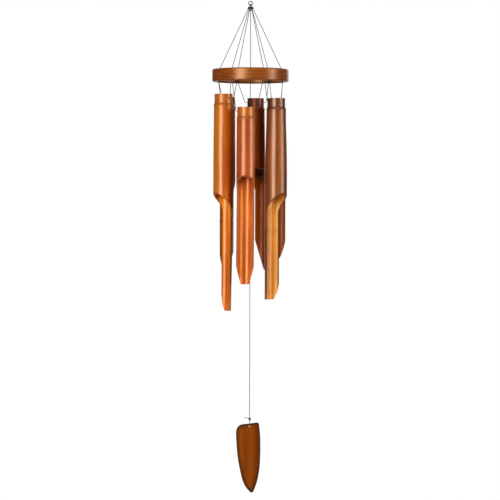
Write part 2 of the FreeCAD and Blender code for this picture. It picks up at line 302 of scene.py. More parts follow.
class Finish:
    """A node material, built up by short calls. Positions are the row frame's, in metres."""

    def __init__(self, name, roughness=0.5, **sockets):
        self.material = bpy.data.materials.new(name)
        self.material.use_nodes = True
        self.tree = self.material.node_tree
        self.shader = self.tree.nodes["Principled BSDF"]
        self.shader.inputs["Roughness"].default_value = roughness
        for socket, value in sockets.items():
            self.shader.inputs[socket.replace("_", " ")].default_value = value
        self.place = self.tree.nodes.new("ShaderNodeTexCoord").outputs["Object"]

    def add(self, kind, inputs, output, **settings):
        node = self.tree.nodes.new(kind)
        for key, value in settings.items():
            setattr(node, key, value)
        for key, value in inputs.items():
            if isinstance(value, bpy.types.NodeSocket):
                self.tree.links.new(value, node.inputs[key])
            else:
                node.inputs[key].default_value = value
        return node.outputs[output]

    def stretched(self, scale, move=(0, 0, 0)):
        return self.add("ShaderNodeMapping",
                        {"Vector": self.place, "Scale": scale, "Location": move}, "Vector")

    def noise(self, vector, scale, detail=3.0, roughness=0.55, distortion=0.0):
        return self.add("ShaderNodeTexNoise",
                        {"Vector": vector, "Scale": scale, "Detail": detail,
                         "Roughness": roughness, "Distortion": distortion}, "Fac")

    def spread(self, value, low, high, to_low=0.0, to_high=1.0):
        return self.add("ShaderNodeMapRange",
                        {"Value": value, "From Min": low, "From Max": high,
                         "To Min": to_low, "To Max": to_high}, "Result")

    def maths(self, operation, first, second):
        return self.add("ShaderNodeMath", {0: first, 1: second}, "Value", operation=operation)

    def ramp(self, value, *stops):
        node = self.tree.nodes.new("ShaderNodeValToRGB")
        self.tree.links.new(value, node.inputs["Fac"])
        elements = node.color_ramp.elements
        while len(elements) < len(stops):
            elements.new(0.5)
        for element, (position, code) in zip(elements, stops):
            element.position = position
            element.color = colour(code)
        return node.outputs["Color"]

    def blend(self, share, first, second, mode="MIX"):
        node = self.tree.nodes.new("ShaderNodeMix")
        node.data_type = "RGBA"
        node.blend_type = mode
        for socket, value in ((0, share), (6, first), (7, second)):
            if isinstance(value, bpy.types.NodeSocket):
                self.tree.links.new(value, node.inputs[socket])
            else:
                node.inputs[socket].default_value = value
        return node.outputs[2]

    def attribute(self, name):
        return self.add("ShaderNodeAttribute", {}, "Fac", attribute_name=name)

    def bump(self, height, depth, below=None):
        inputs = {"Height": height, "Distance": depth, "Strength": 1.0}
        if below is not None:
            inputs["Normal"] = below
        return self.add("ShaderNodeBump", inputs, "Normal")

    def paint(self, base=None, roughness=None, normal=None):
        for socket, value in (("Base Color", base), ("Roughness", roughness), ("Normal", normal)):
            if value is not None:
                self.tree.links.new(value, self.shader.inputs[socket])
        return self.material


def bamboo_skin(name, look, shine, seed):
    """Lacquered culm: long fibres, slow bands of stain, one paler streak that is a painted highlight on
    the front tube, mottled nodes with stain and painted shade.
    """
    f = Finish(name, IOR=1.75, Specular_IOR_Level=0.85, Specular_Tint=shine)
    fibres = f.noise(f.stretched((1, 1, 0.015), (seed, 0, 0)), 1300, 4, 0.6)
    bands = f.noise(f.stretched((1, 1, 0.03), (0, seed, 0)), 95, 3, 0.5, 0.3)
    slow = f.noise(f.stretched((1, 1, 0.25), (seed, seed, 0)), 24, 2, 0.5)
    mottle = f.noise(f.stretched((1, 1, 0.5), (0, 0, seed)), 190, 5, 0.65, 0.6)
    tone = f.maths("ADD", f.maths("MULTIPLY", bands, 0.6), f.maths("MULTIPLY", slow, 0.4))
    tone = f.maths("ADD", tone, f.spread(fibres, 0.3, 0.7, -0.09, 0.09))
    base = f.ramp(tone, (0.39, look.dark), (0.5, look.middle), (0.61, look.light))
    # The paler streak: the culm's own paler side, and on the front tube a painted highlight.
    base = f.blend(f.attribute("streak"), base, colour(look.streak))
    spots = f.spread(mottle, 0.4, 0.6)
    base = f.blend(f.maths("MULTIPLY", f.attribute("neck"), f.spread(mottle, 0.36, 0.56, 0.3, 1.0)),
                   base, colour(look.neck))
    # Stain round each node and at the top rim, with painted shade in the groove just above each node.
    near_node = f.attribute("stain")
    base = f.blend(f.maths("MULTIPLY", near_node, spots), base, colour(look.stain))
    flecks = f.noise(f.stretched((1, 1, 0.1), (seed, 0, seed)), 420, 4, 0.7)
    base = f.blend(f.spread(flecks, 0.58, 0.7, 0, 0.5), base, colour(look.stain))
    rough = f.maths("ADD", f.spread(bands, 0.3, 0.7, 0.34, 0.4), f.spread(mottle, 0.4, 0.7, 0, 0.05))
    normal = f.bump(fibres, 0.014 * MM)
    return f.paint(base, rough, f.bump(f.maths("MULTIPLY", mottle, near_node), 0.2 * MM, normal))


def bamboo_inside(name, dark, middle, light, seed):
    """The lacquered inner wall: brighter, with coarser fibres and small pits."""
    f = Finish(name, IOR=1.6, Specular_IOR_Level=0.85, Specular_Tint=LACQUER_TINT)
    fibres = f.noise(f.stretched((1, 1, 0.02), (seed, 0, 0)), 1100, 5, 0.65)
    bands = f.noise(f.stretched((1, 1, 0.03), (0, seed, 0)), 140, 3, 0.5, 0.2)
    slow = f.noise(f.stretched((1, 1, 0.3), (seed, seed, 0)), 30, 2, 0.5)
    tone = f.maths("ADD", f.maths("MULTIPLY", bands, 0.5), f.maths("MULTIPLY", slow, 0.35))
    tone = f.maths("ADD", tone, f.maths("MULTIPLY", fibres, 0.15))
    base = f.ramp(tone, (0.38, dark), (0.5, middle), (0.62, light))
    # Darker at the top rim, with stain, and just above each node, with painted shade.
    base = f.blend(f.attribute("stain"), base, colour(dark))
    rough = f.spread(fibres, 0.3, 0.7, 0.3, 0.4)
    normal = f.bump(fibres, 0.015 * MM)
    return f.paint(base, rough, f.bump(bands, 0.08 * MM, normal))


def bamboo_cut(name, ground, pore, seed):
    """Sawn ends and notch faces: stained end grain, dotted with vessel bundles."""
    f = Finish(name, Specular_IOR_Level=0.35)
    dots = f.add("ShaderNodeTexVoronoi", {"Vector": f.stretched((1, 1, 0.25), (seed, 0, 0)),
                                          "Scale": 1100.0}, "Distance")
    cloud = f.noise(f.stretched((1, 1, 1), (0, seed, 0)), 240, 4, 0.6)
    base = f.blend(f.spread(dots, 0.38, 0.18), colour(ground), colour(pore))
    base = f.blend(f.spread(cloud, 0.4, 0.7, 0, 0.5), base, colour(pore))
    rough = f.spread(cloud, 0.3, 0.7, 0.45, 0.65)
    return f.paint(base, rough, f.bump(dots, 0.1 * MM))


def board_wood(name, dark, middle, light, edge, along, rings, seed, roughness, gloss):
    """Stained board: growth rings round a far pith, fine pores along the grain, darker where the edge
    attribute says.

    along is the grain's axis, 0 to 2, and rings is the number of rings in a metre.
    """
    f = Finish(name, Specular_IOR_Level=gloss, Specular_Tint=LACQUER_TINT)
    squeeze = [1.0, 1.0, 1.0]
    squeeze[along] = 0.07
    warp = f.noise(f.stretched(squeeze, (seed, 0, seed)), 38, 3, 0.5)
    pull = [1.0, 1.0, 1.0]
    pull[along] = 0.0
    flat = f.stretched(pull, (0.031, 0.067, 0.043))
    reach = f.add("ShaderNodeVectorMath", {0: flat}, "Value", operation="LENGTH")
    phase = f.maths("ADD", f.maths("MULTIPLY", reach, rings), f.maths("MULTIPLY", warp, 6.0))
    wave = f.maths("SINE", f.maths("MULTIPLY", phase, 2.2), 0.0)
    late = f.spread(wave, -0.9, 1.0)
    squeeze[along] = 0.03
    pores = f.noise(f.stretched(squeeze, (0, seed, 0)), 1300, 4, 0.7)
    tone = f.maths("ADD", f.maths("MULTIPLY", late, 0.16), f.maths("MULTIPLY", warp, 0.6))
    tone = f.maths("ADD", tone, f.maths("MULTIPLY", pores, 0.22))
    base = f.ramp(tone, (0.2, light), (0.5, middle), (0.82, dark))
    base = f.blend(f.spread(pores, 0.6, 0.72, 0, 0.5), base, colour(edge))
    # Darker where the edge attribute is high: the hoop's rounded corners, all over the striker, the
    # sail's outline and right side.
    base = f.blend(f.attribute("edge"), base, colour(edge))
    rough = f.spread(pores, 0.3, 0.75, roughness, roughness + 0.12)
    normal = f.bump(pores, 0.02 * MM)
    return f.paint(base, rough, f.bump(late, 0.03 * MM, normal))


def cord_fibre(name, dark, light):
    f = Finish(name, 0.82, Specular_IOR_Level=0.25, Sheen_Weight=0.25, Sheen_Roughness=0.5)
    hairs = f.noise(f.stretched((1, 1, 0.4)), 5200, 3, 0.6)
    wear = f.noise(f.place, 140, 2)
    base = f.ramp(f.maths("ADD", f.maths("MULTIPLY", hairs, 0.6), f.maths("MULTIPLY", wear, 0.4)),
                  (0.35, dark), (0.68, light))
    return f.paint(base, None, f.bump(hairs, 0.08 * MM))


def wire_metal(name, dark, light, roughness, metallic):
    f = Finish(name, roughness, Metallic=metallic)
    grime = f.noise(f.place, 900, 4, 0.65)
    base = f.ramp(grime, (0.4, dark), (0.65, light))
    rough = f.spread(grime, 0.3, 0.7, roughness - 0.08, roughness + 0.14)
    return f.paint(base, rough, f.bump(grime, 0.03 * MM))


# --- cords and knots ----------------------------------------------------------------------


def station(azimuth, z):
    """The middle of a tied knot on the hoop's inner wall."""
    low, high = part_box("hoop")
    turn = math.radians(azimuth)
    centre = (low + high) / 2
    return Vector((centre.x + STATION_R * math.cos(turn), centre.y + STATION_R * math.sin(turn), z))


def middle_of(node):
    low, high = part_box(node)
    return (low + high) / 2


def route_line(points, resolution=80):
    """The points along a cord: those of the NURBS spline that its route's points control."""
    curve = bpy.data.curves.new("route", "CURVE")
    curve.dimensions = "3D"
    curve.resolution_u = resolution
    spline = curve.splines.new("NURBS")
    spline.points.add(len(points) - 1)
    for place, point in zip(spline.points, points):
        place.co = (*point, 1)
    spline.order_u = 3
    spline.use_endpoint_u = True
    holder = bpy.data.objects.new("route", curve)
    mesh = bpy.data.meshes.new_from_object(holder)
    line = [v.co.copy() for v in mesh.vertices]
    bpy.data.meshes.remove(mesh)
    bpy.data.curves.remove(curve)
    return line


def line_length(line):
    return sum((b - a).length for a, b in zip(line, line[1:]))


def twist_round(skin, line, radius, closed=False):
    """Adds a three-ply cord that follows a line of points to a skin."""
    count = len(line)
    ahead = [(line[(i + 1) % count] if closed or i + 1 < count else line[i]) for i in range(count)]
    behind = [(line[i - 1] if closed or i else line[i]) for i in range(count)]
    tangents = [(a - b).normalized() for a, b in zip(ahead, behind)]
    side = tangents[0].orthogonal().normalized()
    sides = []
    for tangent in tangents:
        side = (side - tangent * side.dot(tangent)).normalized()
        sides.append(side)
    slip = 0.0
    total = line_length(line + line[:1]) if closed else line_length(line)
    turns = total / CORD_PITCH
    if closed:
        last = (side - tangents[0] * side.dot(tangents[0])).normalized()
        slip = math.atan2(last.cross(sides[0]).dot(tangents[0]), last.dot(sides[0]))
        turns = round(turns * 3) / 3
    rows = []
    run = 0.0
    for i, point in enumerate(line):
        if i:
            run += (point - line[i - 1]).length
        share = run / total
        across = tangents[i].cross(sides[i])
        lay = TURN * turns * share
        ring = []
        for k in range(CORD_SIDES):
            angle = TURN * k / CORD_SIDES + slip * share
            reach = radius * (0.95 + 0.05 * math.cos(3 * (TURN * k / CORD_SIDES - lay)))
            ring.append(point + (sides[i] * math.cos(angle) + across * math.sin(angle)) * reach)
        rows.append(skin.row(ring))
    skin.sheet(rows)
    if closed:
        skin.join(rows[-1], rows[0])
    else:
        skin.fan(rows[0][::-1], line[0] - tangents[0] * radius * 0.5)
        skin.fan(rows[-1], line[-1] + tangents[-1] * radius * 0.5)


def cord_piece(node, route, body):
    """A cord, which stands for its CAD tube."""
    straight = len(route) == 2
    reach = (route[-1] - route[0]).length
    line = route_line(route, min(900, int(reach / (0.55 * MM))) if straight else 80)
    skin = Skin()
    twist_round(skin, line, CORD_R)
    obj = skin.piece(f"{node}_twine", [cord_black], body, "cord", node)


def knot_line(centre, kind, tilt=0.0, count=110):
    """A closed line that winds round a knot: a torus knot, squashed to the knot's height."""
    knot = KNOTS[kind]
    turn = Matrix.Rotation(tilt, 3, "X")
    line = []
    for i in range(count):
        t = TURN * i / count
        ring = knot.wide * MM + knot.thick * MM * math.cos(knot.crossings * t)
        place = Vector((ring * math.cos(knot.rounds * t), ring * math.sin(knot.rounds * t),
                        knot.high * MM * math.sin(knot.crossings * t)))
        line.append(centre + turn @ place)
    return line


def strap(centre, radius, aside, drop, count=60):
    """A closed turn of cord: over the ring's wire, and down both sides into the knot."""
    line = []
    for i in range(count):
        t = TURN * i / count
        low = max(0.0, -math.sin(t))
        line.append(centre + Vector((aside * (0.45 + 0.55 * low), radius * math.cos(t),
                                     radius * math.sin(t) - drop * low)))
    return line


def loose_end(start, direction, length, droop=0.35):
    """A short cut end that sticks out of a knot and bends down."""
    heading = Vector(direction).normalized()
    bend = start + heading * length * 0.55
    tip = bend + (heading - UP * droop * 2).normalized() * length * 0.5
    return route_line([start, bend, tip], 10)


def knot_piece(node, body, lines, ends=()):
    """A tied knot with its cut ends, which stands for its CAD ball."""
    skin = Skin()
    for line in lines:
        twist_round(skin, line, CORD_R, closed=True)
    for line in ends:
        twist_round(skin, line, CORD_R)
    return skin.piece(f"{node}_tied", [cord_black], body, "cord", node)


def hung_cord(name):
    """From one knot down over the edge of a hole, through the tube, and up to the next knot."""
    swing = joints[f"{name}_swing"]
    across = Vector(swing["axis"]).normalized()
    if across.cross(UP).dot(Vector(swing["pos_m"]) - middle_of("hoop")) < 0:
        across = -across
    knots = Vector(swing["pos_m"])
    hole = Vector(joints[f"{name}_tilt"]["pos_m"])
    reach = TUBES[name].diameter / 2 * MM + CORD_STANDOFF
    ends = [knots - across * KNOT_HALF_SPAN, knots + across * KNOT_HALF_SPAN]
    turns = [hole - across * reach, hole + across * reach]
    starts = []
    for end, spread in zip(ends, (1, -1)):
        flat = (end - middle_of("hoop")) * Vector((1, 1, 0))
        sideways = UP.cross(flat).normalized()
        starts.append(end + sideways * CORD_SPREAD * spread - UP * CORD_START_DROP * MM)
    leads = [turn + (start - turn).normalized() * HOLE_LEAD for start, turn in zip(starts, turns)]
    inner = [turns[0] + across * HOLE_LEAD, turns[1] - across * HOLE_LEAD]
    route = [starts[0], leads[0], turns[0], inner[0], inner[1], turns[1], leads[1], starts[1]]
    cord_piece(f"tube_cord_{name}", route, f"cord_{name}")


def cords_and_knots():
    crown = middle_of("crown_knot")
    for number, azimuth in enumerate(STATION_AZIMUTHS, 1):
        upper = station(azimuth, UPPER_KNOT_Z)
        lower = station(azimuth, LOWER_KNOT_Z)
        flat = Vector((upper.x, upper.y, 0)).normalized()
        cord_piece(f"suspension_cord_{number}", [crown + flat * CORD_FAN_R * 0.75, upper],
                   "hoop_frame")
        inward = (middle_of("hoop") - upper) * Vector((1, 1, 0))
        along = UP.cross(inward).normalized()
        knot = knot_line(upper, "upper", 0.2 * number)
        tail = loose_end(upper, inward.normalized() + along * 0.7, 4.5 * MM)
        knot_piece(f"upper_knot_{number}", "hoop_frame", [knot], [tail])
        knot = knot_line(lower, "lower", 0.15 * number)
        tails = [
            loose_end(lower, inward.normalized() * 0.8 - along + UP * 0.2, 6.5 * MM),
            loose_end(lower, inward.normalized() * 0.6 + along * 1.2, 5.5 * MM, 0.6),
        ]
        knot_piece(f"lower_knot_{number}", "hoop_frame", [knot], tails)
    for name in TUBES:
        hung_cord(name)

    knot = knot_line(crown, "crown", 0.0, 300)
    tails = [
        loose_end(crown, (-0.9, -0.6, 0.4), 8 * MM, 0.8),
        loose_end(crown, (0.8, 0.5, 0.2), 7 * MM, 0.8),
    ]
    knot_piece("crown_knot", "hoop_frame", [knot], tails)
    low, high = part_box("crown_loop")
    loop_r = (high.y - low.y) / 2 - CORD_R
    centre = middle_of("crown_loop")
    straps = [strap(centre, loop_r, aside * MM, 3.4 * MM) for aside in (-2.7, 0, 2.7)]
    knot_piece("crown_loop", "crown_loop", straps)

    start = middle_of("centre_knot")
    knot_piece("centre_knot", "centre_knot", [knot_line(start, "centre", 0.3)])
    striker_low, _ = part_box("striker")
    stop = middle_of("striker_stop_knot")
    cord_piece("centre_cord", [start, Vector((0, 0, striker_low.z))], "centre_line")
    knot_piece("striker_top_knot", "centre_line",
               [knot_line(middle_of("striker_top_knot"), "striker_top")])
    tail = loose_end(stop, (0.8, -0.5, -0.3), 6 * MM, 0.8)
    knot_piece("striker_stop_knot", "sail_line_knot", [knot_line(stop, "striker_stop", 0.25)],
               [tail])
    sail_knot = middle_of("sail_knot")
    cord_piece("sail_cord", [stop, sail_knot], "sail_line")
    tails = [
        loose_end(sail_knot + Vector((-1, -0.5, 0.6)) * MM, (-1, -0.35, 0.35), 8.5 * MM, 0.1),
        loose_end(sail_knot, (0.5, -0.8, -0.6), 4 * MM, 0.6),
    ]
    knot_piece("sail_knot", "sail_loop", [knot_line(sail_knot, "sail", 0.2)], tails)
    sail_string(sail_knot)


def sail_string(knot):
    """The loop that threads the sail: down both faces and through its hole."""
    low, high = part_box("sail_loop")
    half = high.y - CORD_R
    hole_z = low.z + CORD_R
    line = []
    for side in (-1, 1):
        down = [knot, Vector((0, side * half * 0.75, high.z - 1.2 * MM)),
                Vector((0, side * half, (high.z + hole_z) / 2)),
                Vector((0, side * half * 0.98, hole_z + 1.0 * MM)),
                Vector((0, side * half * 0.5, hole_z)), Vector((0, 0, hole_z))]
        run = route_line(down, 12)
        line = run if side < 0 else line + run[-2:0:-1]
    skin = Skin()
    twist_round(skin, line, CORD_R, closed=True)
    skin.piece("sail_loop_threaded", [cord_black], "sail_loop", "cord", "sail_loop")


# --- bamboo tubes -------------------------------------------------------------------------


def notch_edge(spec, surface_r, count):
    """Where the notch's cut leaves a surface of the tube: pairs of angle and drop, evenly spaced.

    The first pair is the cut's top, over the notch's middle, and the last is where the cut has
    turned down into the tail's straight side.
    """
    radius = spec.diameter / 2
    cut = radius * (1 - spec.notch_depth)
    slope = spec.notch_height / (radius - cut)
    lean = math.atan(1 / slope)
    reach = NOTCH_BLEND_R * math.tan(lean / 2)
    foot = spec.notch_drop + spec.notch_height + reach
    blend_from = cut + reach * math.sin(lean)

    def drop_at(out):
        if out > blend_from:
            return spec.notch_drop + (radius - out) * slope
        return foot - math.sqrt(max(0.0, NOTCH_BLEND_R ** 2 - (cut + NOTCH_BLEND_R - out) ** 2))

    side = math.acos(cut / surface_r)
    angles = np.linspace(0, side, 400)
    drops = np.array([drop_at(surface_r * math.cos(a)) for a in angles])
    steps = np.hypot(np.diff(angles) * surface_r, np.diff(drops))
    run = np.concatenate([[0], np.cumsum(steps)])
    even = np.linspace(0, run[-1], count)
    return list(zip(np.interp(even, run, angles), np.interp(even, run, drops)))


def tube_rows(drop, nodes):
    """Drops of the rows of the unnotched stretch, closer together at the nodes."""
    rows = {0.0, 0.6, 1.5, 3.0}
    last = drop - 5.0
    rows |= set(np.arange(5.0, last, 5.0).tolist()) | {last}
    for node in nodes:
        for step in (0, 0.4, 0.8, 1.3, 1.8, 2.4, 3.2, 4.2):
            for side in (-1, 1):
                if 0 < node + side * step < last:
                    rows.add(node + side * step)
    return sorted(rows)


class Tube:
    """One bamboo tube's geometry, in millimetres from its top and angles from its notch."""

    NOTCH_COLUMNS = 26
    SIDE_COLUMNS = 12
    TIP_COLUMNS = 10

    def __init__(self, name, number):
        self.name = name
        self.spec = TUBES[name]
        self.radius = self.spec.diameter / 2
        self.nodes = [BAMBOO_NODE_DROP, *self.spec.nodes]
        self.azimuth = math.radians(self.spec.notch_azimuth)
        self.seed = 3.7 * number
        low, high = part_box(f"tube_{name}")
        self.top = Vector(((low.x + high.x) / 2, (low.y + high.y) / 2, high.z))

    def tail_end(self, surface_r, angle):
        """Drop of the tail's lower outline at an angle."""
        spec = self.spec
        half_tip = spec.tip_width / 2
        aside = max(0.0, surface_r * abs(math.sin(angle)) - half_tip)
        share = min(1.0, aside / (self.radius - half_tip))
        blunt_r = self.radius - SLANT_TIP
        cut = self.radius * (1 - spec.notch_depth)
        slope = max(0.0, blunt_r + surface_r * math.cos(angle)) / (blunt_r + cut)
        ragged = 0.5 * noise.noise(Vector((math.sin(angle) * 5, math.cos(angle) * 5, self.seed)))
        return spec.length - spec.taper * share ** 1.2 - spec.slant * slope - abs(ragged)

    def grown(self, drop):
        """How much of its bend and thinning the culm has at a drop."""
        start = 0.35 * self.spec.length
        return max(0.0, (drop - start) / (self.spec.length - start)) ** 1.3

    def slimmer(self, drop):
        """What the culm's radius lacks above the drop where it has its full girth."""
        widest = BAMBOO_NODE_DROP + FLARE_LENGTH * 0.85
        return self.spec.flare * (1 - smooth_step(BAMBOO_NODE_DROP, widest, drop))

    def outer(self, angle, drop):
        """The outer surface's radius: neck, ridged nodes, a culm that isn't quite round."""
        r = self.radius - self.slimmer(drop)
        r -= self.spec.neck * (1 - smooth_step(14.0, 21.0, drop))
        r += (BAMBOO_NODE_RISE + 0.1) * math.exp(-((drop - BAMBOO_NODE_DROP) / 0.9) ** 2)
        r -= 0.25 * math.exp(-((drop - BAMBOO_NODE_DROP + 2.6) / 0.9) ** 2)
        for node in self.nodes[1:]:
            r += 0.42 * math.exp(-((drop - node) / 0.9) ** 2)
            r -= 0.38 * math.exp(-((drop - node + 2.2) / 0.8) ** 2)
        r += 0.15 * math.cos(2 * angle + self.seed)
        return r - self.spec.thin * self.grown(drop) + 0.2 * self.wobble(angle, drop)

    def inner(self, angle, drop):
        r = self.radius - self.spec.wall - 0.12 * math.cos(2 * angle + self.seed)
        r -= self.slimmer(drop)
        if drop < BAMBOO_NODE_DROP:
            r -= self.spec.neck
        for node in self.nodes[1:]:
            r -= 0.9 * math.exp(-((drop - node) / 1.1) ** 2)
        return r - self.spec.thin * self.grown(drop) + 0.22 * self.wobble(angle + 2, drop)

    def wobble(self, angle, drop):
        return noise.noise(Vector((math.cos(angle) * 1.6, math.sin(angle) * 1.6,
                                   drop / 45 + self.seed)))

    def place(self, radius, angle, drop):
        turn = angle + self.azimuth
        x = radius * math.cos(turn) - self.spec.bend * self.grown(drop)
        return self.top + Vector((x, radius * math.sin(turn), -drop)) * MM

    def wall(self, skin, surface_r, shape, slot, first_drop):
        """One face of the wall. Returns its top row and the closed loop of its lower edge."""
        edge = notch_edge(self.spec, surface_r, self.NOTCH_COLUMNS)
        side, foot = edge[-1]
        tip = math.pi - math.asin(self.spec.tip_width / 2 / surface_r)
        flank = np.linspace(side, tip, self.SIDE_COLUMNS + 1)[1:].tolist()
        toe = np.linspace(tip, TURN - tip, self.TIP_COLUMNS + 1)[1:].tolist()
        back = [TURN - a for a in reversed(flank[:-1])] + [TURN - side]
        tail = [side, *flank, *toe, *back]
        angles = [a for a, _ in edge[:-1]] + tail + [TURN - a for a, _ in edge[-2:0:-1]]
        ends = [d for _, d in edge[:-1]] + [foot] * len(tail) + [d for _, d in edge[-2:0:-1]]

        def add(row_angles, drops):
            return skin.row([self.place(shape(a, d), a, d) for a, d in zip(row_angles, drops)])

        steps = [d for d in tube_rows(self.spec.notch_drop, self.nodes) if d > first_drop]
        steps = [first_drop, *steps]
        rows = [add(angles, [d] * len(angles)) for d in steps]
        for share in np.linspace(0, 1, 15)[1:]:
            rows.append(add(angles, [steps[-1] + (end - steps[-1]) * share for end in ends]))
        skin.sheet(rows, slot)

        start = len(edge) - 1
        tail_rows = [rows[-1][start:start + len(tail)]]
        outline = [self.tail_end(surface_r, a) for a in tail]
        count = int((self.spec.length - foot) / 2.2)
        for share in np.linspace(0, 1, count + 1)[1:]:
            tail_rows.append(add(tail, [foot + (end - foot) * share for end in outline]))
        skin.sheet(tail_rows, slot, closed=False)

        down = [row[0] for row in tail_rows[1:]]
        up = [row[-1] for row in reversed(tail_rows[1:-1])]
        loop = rows[-1][:start + 1] + down[:-1] + tail_rows[-1] + up
        loop += rows[-1][start + len(tail) - 1:]
        return rows[0], loop

    def rim(self, skin, outer, inner, slot, steps=3):
        """The cut face between two loops."""
        rows = [outer]
        for k in range(1, steps):
            share = k / steps
            rows.append(skin.row([Vector(skin.points[a]).lerp(Vector(skin.points[b]), share)
                                  for a, b in zip(outer, inner)]))
        skin.sheet([*rows, inner], slot)

    def build(self, materials, slot):
        skin = Skin()
        below = BAMBOO_NODE_DROP + DIAPHRAGM / 2
        above = BAMBOO_NODE_DROP - DIAPHRAGM / 2
        top_row, outer_loop = self.wall(skin, self.radius, self.outer, 0, 0.0)
        ceiling, inner_loop = self.wall(skin, self.radius - self.spec.wall, self.inner, 1, below)
        self.rim(skin, outer_loop, inner_loop, 2)
        self.disc(skin, ceiling, below, -1.2)
        angles = [math.atan2(skin.points[i][1] - self.top.y, skin.points[i][0] - self.top.x)
                  - self.azimuth for i in top_row]
        cup = [skin.row([self.place(self.inner(a, d), a, d) for a in angles])
               for d in (0.0, 0.8, 2.5, 5.0, 8.0, 11.0, 14.0, above - 1.2, above)]
        self.rim(skin, top_row, cup[0], 2, 4)
        skin.sheet(cup, 1)
        self.disc(skin, cup[-1], above, 1.2)
        obj = skin.piece(f"bamboo_{self.name}", materials, f"tube_{self.name}", slot,
                         f"tube_{self.name}")
        tilt = joints[f"{self.name}_tilt"]
        drill(obj, Vector(tilt["pos_m"]), tilt["axis"], TUBE_HOLE_D, 2.6 * self.radius * MM)
        soften(obj, 0.35 * MM)
        measure(obj, "stain", self.stain)
        measure(obj, "neck", self.neck)
        measure(obj, "streak", self.streak)

    def disc(self, skin, loop, drop, dish):
        """The diaphragm's face, dished a little."""
        last = loop
        for share in (0.8, 0.55, 0.3, 0.1):
            ring = []
            for i in loop:
                away = Vector(skin.points[i]) - self.top
                flat = Vector((away.x, away.y, 0)) * share
                ring.append(self.top + flat - UP * (drop + dish * (1 - share ** 2)) * MM)
            row = skin.row(ring)
            skin.join(last, row, 1)
            last = row
        skin.fan(last, self.top - UP * (drop + dish) * MM, 1)

    def stain(self, point):
        """Stain and painted shade: painted shade in the groove just above each node, stain in a wider
        band round each node and at the top rim.
        """
        drop = (self.top.z - point.z) / MM
        mark = 0.0
        for node in self.nodes:
            # Painted shade in the groove just above the node; stain in the wider band round it.
            mark = max(mark, 0.75 * math.exp(-((drop - node + 2.4) / 1.2) ** 2),
                       0.4 * math.exp(-((drop - node) / 7.0) ** 2))
        return min(1.0, max(mark, 0.9 * math.exp(-drop / 1.6)))

    def neck(self, point):
        """1 over the stretch above the first node, which takes the stain differently."""
        return 1 - smooth_step(15.0, 27.0, (self.top.z - point.z) / MM)

    def streak(self, point):
        """How far the paler streak covers a point: it runs down one side, placed left to right as seen
        from the front, drifting. On the front tube it is a painted highlight, on the others the culm's
        paler side.
        """
        drop = (self.top.z - point.z) / MM
        across = (point.x - self.top.x) / MM / self.radius
        look = LOOKS[self.name]
        drift = 0.16 * noise.noise(Vector((drop / 90, self.seed, 0)))
        return look.streak_share * math.exp(-((across - look.streak_at - drift) / look.streak_half) ** 2)


def bamboo_tubes():
    insides = {
        "bamboo_light": ("9C3A08", "C65C0C", "E08824"),
        "bamboo_brown": ("C87428", "DC8A30", "EEA848"),
        "bamboo_dark": ("5A260A", "7E3E14", "A05A24"),
    }
    shines = {
        "bamboo_light": LACQUER_TINT,
        "bamboo_brown": (1.0, 0.58, 0.36, 1),
        "bamboo_dark": (0.5, 0.17, 0.07, 1),
    }
    for number, name in enumerate(TUBES):
        look = LOOKS[name]
        seed = 1.3 * number
        materials = [
            bamboo_skin(f"bamboo_skin_{name}", look, shines[look.slot], seed),
            bamboo_inside(f"bamboo_inside_{name}", *insides[look.slot], seed),
            bamboo_cut(f"bamboo_cut_{name}", look.cut, look.dark, seed),
        ]
        Tube(name, number).build(materials, look.slot)


# --- hoop, striker and sail ---------------------------------------------------------------


def rounded_section(inner_r, outer_r, low, high, edge_r, steps=6):
    """A closed outline of (radius, height) pairs: a rectangle with rounded corners."""
    outline = []
    corners = [(outer_r, low, -1, 1), (outer_r, high, -1, -1), (inner_r, high, 1, -1),
               (inner_r, low, 1, 1)]
    starts = (-90, 0, 90, 180)
    for (r, z, to_r, to_z), start in zip(corners, starts):
        centre = (r + to_r * edge_r, z + to_z * edge_r)
        for k in range(steps + 1):
            angle = math.radians(start + 90 * k / steps)
            outline.append((centre[0] + edge_r * math.cos(angle), centre[1] + edge_r * math.sin(angle)))
    return outline


def divided(outline, longest):
    """The outline again, with its long straight stretches divided."""
    dense = []
    for (r1, z1), (r2, z2) in zip(outline, outline[1:] + outline[:1]):
        count = max(1, math.ceil(math.hypot(r2 - r1, z2 - z1) / longest))
        dense += [(r1 + (r2 - r1) * k / count, z1 + (z2 - z1) * k / count) for k in range(count)]
    return dense


def turned(outline, centre, around, uneven=0.0):
    """A skin made by turning a closed outline, in millimetres, about a vertical axis."""
    skin = Skin()
    rows = []
    for k in range(around):
        angle = TURN * k / around
        heading = Vector((math.cos(angle), math.sin(angle), 0))
        row = []
        for r, z in outline:
            sway = uneven * noise.noise(Vector((heading.x * 2.2, heading.y * 2.2, z / 14)))
            row.append(centre + heading * (r + sway) * MM + UP * z * MM)
        rows.append(skin.row(row))
    skin.sheet(rows + rows[:1])
    return skin


def hoop():
    low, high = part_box("hoop")
    outer_r = (high.x - low.x) / 2 / MM
    inner_r = outer_r - HOOP_WALL
    height = (high.z - low.z) / MM
    centre = Vector(((low.x + high.x) / 2, (low.y + high.y) / 2, low.z))
    outline = divided(rounded_section(inner_r, outer_r, 0, height, HOOP_EDGE_R), 2.0)
    skin = turned(outline, centre, 220, 0.12)
    wood = board_wood("hoop_stained_wood", "541E06", "78380A", "945214", "301208", 0, 420, 2.0,
                      0.28, 0.95)
    obj = skin.piece("hoop_turned", [wood], "hoop_frame", "hoop_wood", "hoop")

    # Darker at the rounded corners of the section.
    def edge(point):
        away = Vector((point.x - centre.x, point.y - centre.y)).length / MM
        to_rim = min(abs(point.z - low.z), abs(point.z - high.z)) / MM
        to_side = min(abs(away - inner_r), abs(away - outer_r))
        return 0.55 * (1 - smooth_step(0.2, 2.2, to_rim + to_side * 0.5))

    measure(obj, "edge", edge)


